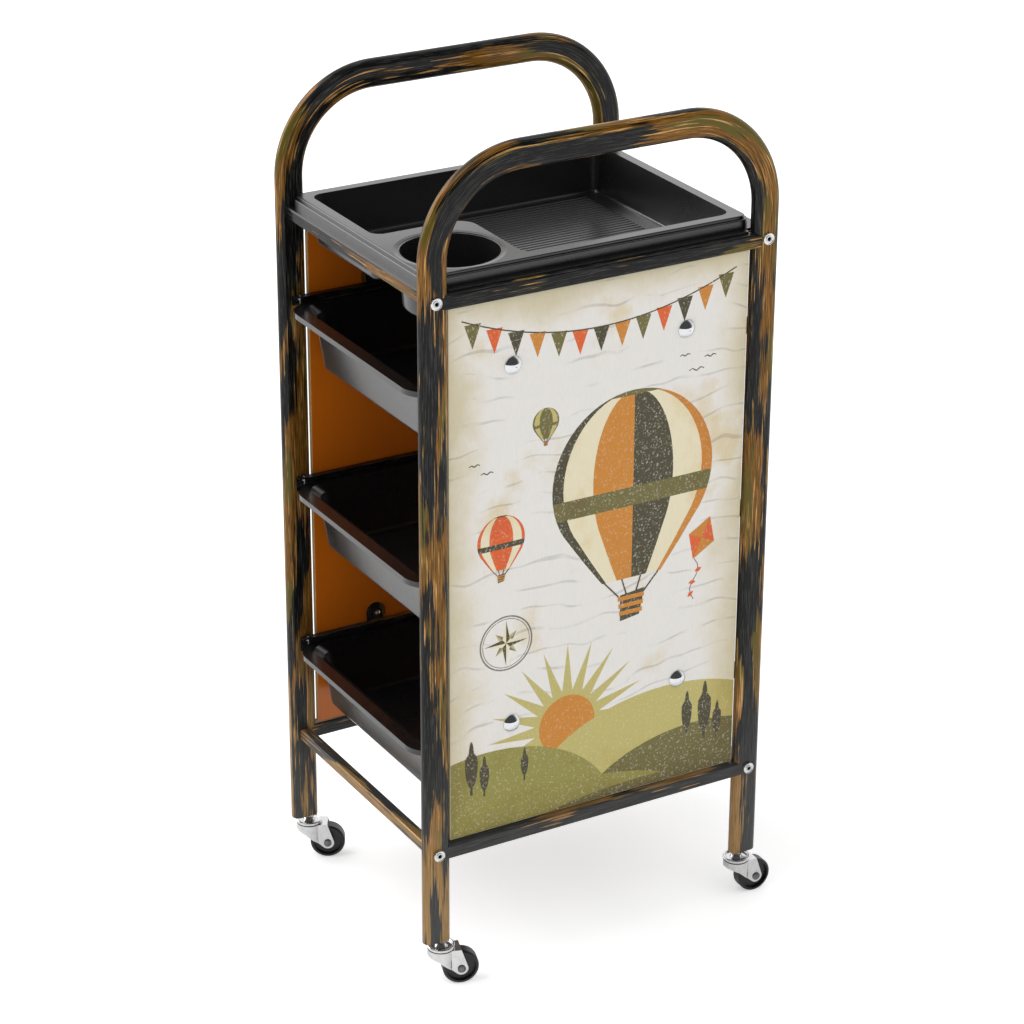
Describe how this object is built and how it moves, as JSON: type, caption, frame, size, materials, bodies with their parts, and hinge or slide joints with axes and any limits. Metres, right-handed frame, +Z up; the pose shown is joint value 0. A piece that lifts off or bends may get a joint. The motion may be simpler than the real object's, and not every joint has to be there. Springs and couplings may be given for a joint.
{
  "type": "utility cart",
  "caption": "Narrow rolling utility cart: bent tube side frames with printed boards, pull-out drawers in channel runners, lift-off top tray with a cup well, swivel casters.",
  "frame": {"origin": "on the floor, midway between the four posts", "axes": "+X from the left side frame to the right one, +Y from the open front to the rear, +Z up"},
  "size_m": [0.3332, 0.4237, 0.8955],
  "materials": {
    "frame_paint": "hammered black with brushed gold",
    "board_print": "printed hardboard, satin outside, plain amber inside",
    "tray_plastic": "satin moulded",
    "zinc": "zinc plated",
    "cap_chrome": "polished",
    "wheel_black": "satin moulded",
    "plug_black": "plain moulded",
    "steel": "plain steel"
  },
  "bodies": {
    "frame": {"board_caps_left": "cap_chrome", "board_caps_right": "cap_chrome", "board_lugs_left": "frame_paint", "board_lugs_right": "frame_paint", "board_nuts_left": "steel", "board_nuts_right": "steel", "bottom_bar_left": "frame_paint", "bottom_bar_right": "frame_paint", "bottom_rail_front": "frame_paint", "bottom_rail_rear": "frame_paint", "caster_balls_left_front": "steel", "caster_balls_left_rear": "steel", "caster_balls_right_front": "steel", "caster_balls_right_rear": "steel", "caster_cup_plate_left_front": "zinc", "caster_cup_plate_left_rear": "zinc", "caster_cup_plate_right_front": "zinc", "caster_cup_plate_right_rear": "zinc", "caster_stem_left_front": "zinc", "caster_stem_left_rear": "zinc", "caster_stem_right_front": "zinc", "caster_stem_right_rear": "zinc", "frame_bolts_left": "zinc", "frame_bolts_right": "zinc", "hoop_left": "frame_paint", "hoop_right": "frame_paint", "leg_plugs": "plug_black", "runner_lower_left": "frame_paint", "runner_lower_right": "frame_paint", "runner_middle_left": "frame_paint", "runner_middle_right": "frame_paint", "runner_upper_left": "frame_paint", "runner_upper_right": "frame_paint", "side_board_left": "board_print", "side_board_right": "board_print", "stem_nuts": "zinc", "stop_nuts": "steel", "stop_screws": "steel", "top_bar_left": "frame_paint", "top_bar_right": "frame_paint", "top_rail_front": "frame_paint", "top_rail_rear": "frame_paint"},
    "swivel_left_front": {"caster_axle_left_front": "zinc", "caster_fork_left_front": "zinc"},
    "swivel_left_rear": {"caster_axle_left_rear": "zinc", "caster_fork_left_rear": "zinc"},
    "swivel_right_front": {"caster_axle_right_front": "zinc", "caster_fork_right_front": "zinc"},
    "swivel_right_rear": {"caster_axle_right_rear": "zinc", "caster_fork_right_rear": "zinc"},
    "wheel_left_front": {"caster_wheel_left_front": "wheel_black"},
    "wheel_left_rear": {"caster_wheel_left_rear": "wheel_black"},
    "wheel_right_front": {"caster_wheel_right_front": "wheel_black"},
    "wheel_right_rear": {"caster_wheel_right_rear": "wheel_black"},
    "drawer_lower": {"drawer_lower": "tray_plastic"},
    "drawer_middle": {"drawer_middle": "tray_plastic"},
    "drawer_upper": {"drawer_upper": "tray_plastic"},
    "top_tray": {"top_tray": "tray_plastic"}
  },
  "joints": [
    {"name": "drawer_upper_slide", "type": "slide", "parent": "frame", "child": "drawer_upper", "axis": [0, -1, 0], "range_m": [0, 0.225]},
    {"name": "drawer_middle_slide", "type": "slide", "parent": "frame", "child": "drawer_middle", "axis": [0, -1, 0], "range_m": [0, 0.225]},
    {"name": "drawer_lower_slide", "type": "slide", "parent": "frame", "child": "drawer_lower", "axis": [0, -1, 0], "range_m": [0, 0.225]},
    {"name": "top_tray_lift", "type": "slide", "parent": "frame", "child": "top_tray", "axis": [0, 0, 1], "range_m": [0, 0.04]},
    {"name": "swivel_right_front_turn", "type": "hinge", "parent": "frame", "child": "swivel_right_front", "pos_m": [0.15, -0.182, 0.0415], "axis": [0, 0, 1], "continuous": true},
    {"name": "wheel_right_front_spin", "type": "hinge", "parent": "swivel_right_front", "child": "wheel_right_front", "pos_m": [0.15618, -0.16298, 0.019], "axis": [-0.9511, 0.309, 0], "continuous": true},
    {"name": "swivel_left_front_turn", "type": "hinge", "parent": "frame", "child": "swivel_left_front", "pos_m": [-0.15, -0.182, 0.0415], "axis": [0, 0, 1], "continuous": true},
    {"name": "wheel_left_front_spin", "type": "hinge", "parent": "swivel_left_front", "child": "wheel_left_front", "pos_m": [-0.14061, -0.16434, 0.019], "axis": [-0.8829, 0.4695, 0], "continuous": true},
    {"name": "swivel_right_rear_turn", "type": "hinge", "parent": "frame", "child": "swivel_right_rear", "pos_m": [0.15, 0.182, 0.0415], "axis": [0, 0, 1], "continuous": true},
    {"name": "wheel_right_rear_spin", "type": "hinge", "parent": "swivel_right_rear", "child": "wheel_right_rear", "pos_m": [0.1507, 0.20199, 0.019], "axis": [-0.9994, 0.0349, 0], "continuous": true},
    {"name": "swivel_left_rear_turn", "type": "hinge", "parent": "frame", "child": "swivel_left_rear", "pos_m": [-0.15, 0.182, 0.0415], "axis": [0, 0, 1], "continuous": true},
    {"name": "wheel_left_rear_spin", "type": "hinge", "parent": "swivel_left_rear", "child": "wheel_left_rear", "pos_m": [-0.14516, 0.20141, 0.019], "axis": [-0.9703, 0.2419, 0], "continuous": true}
  ]
}
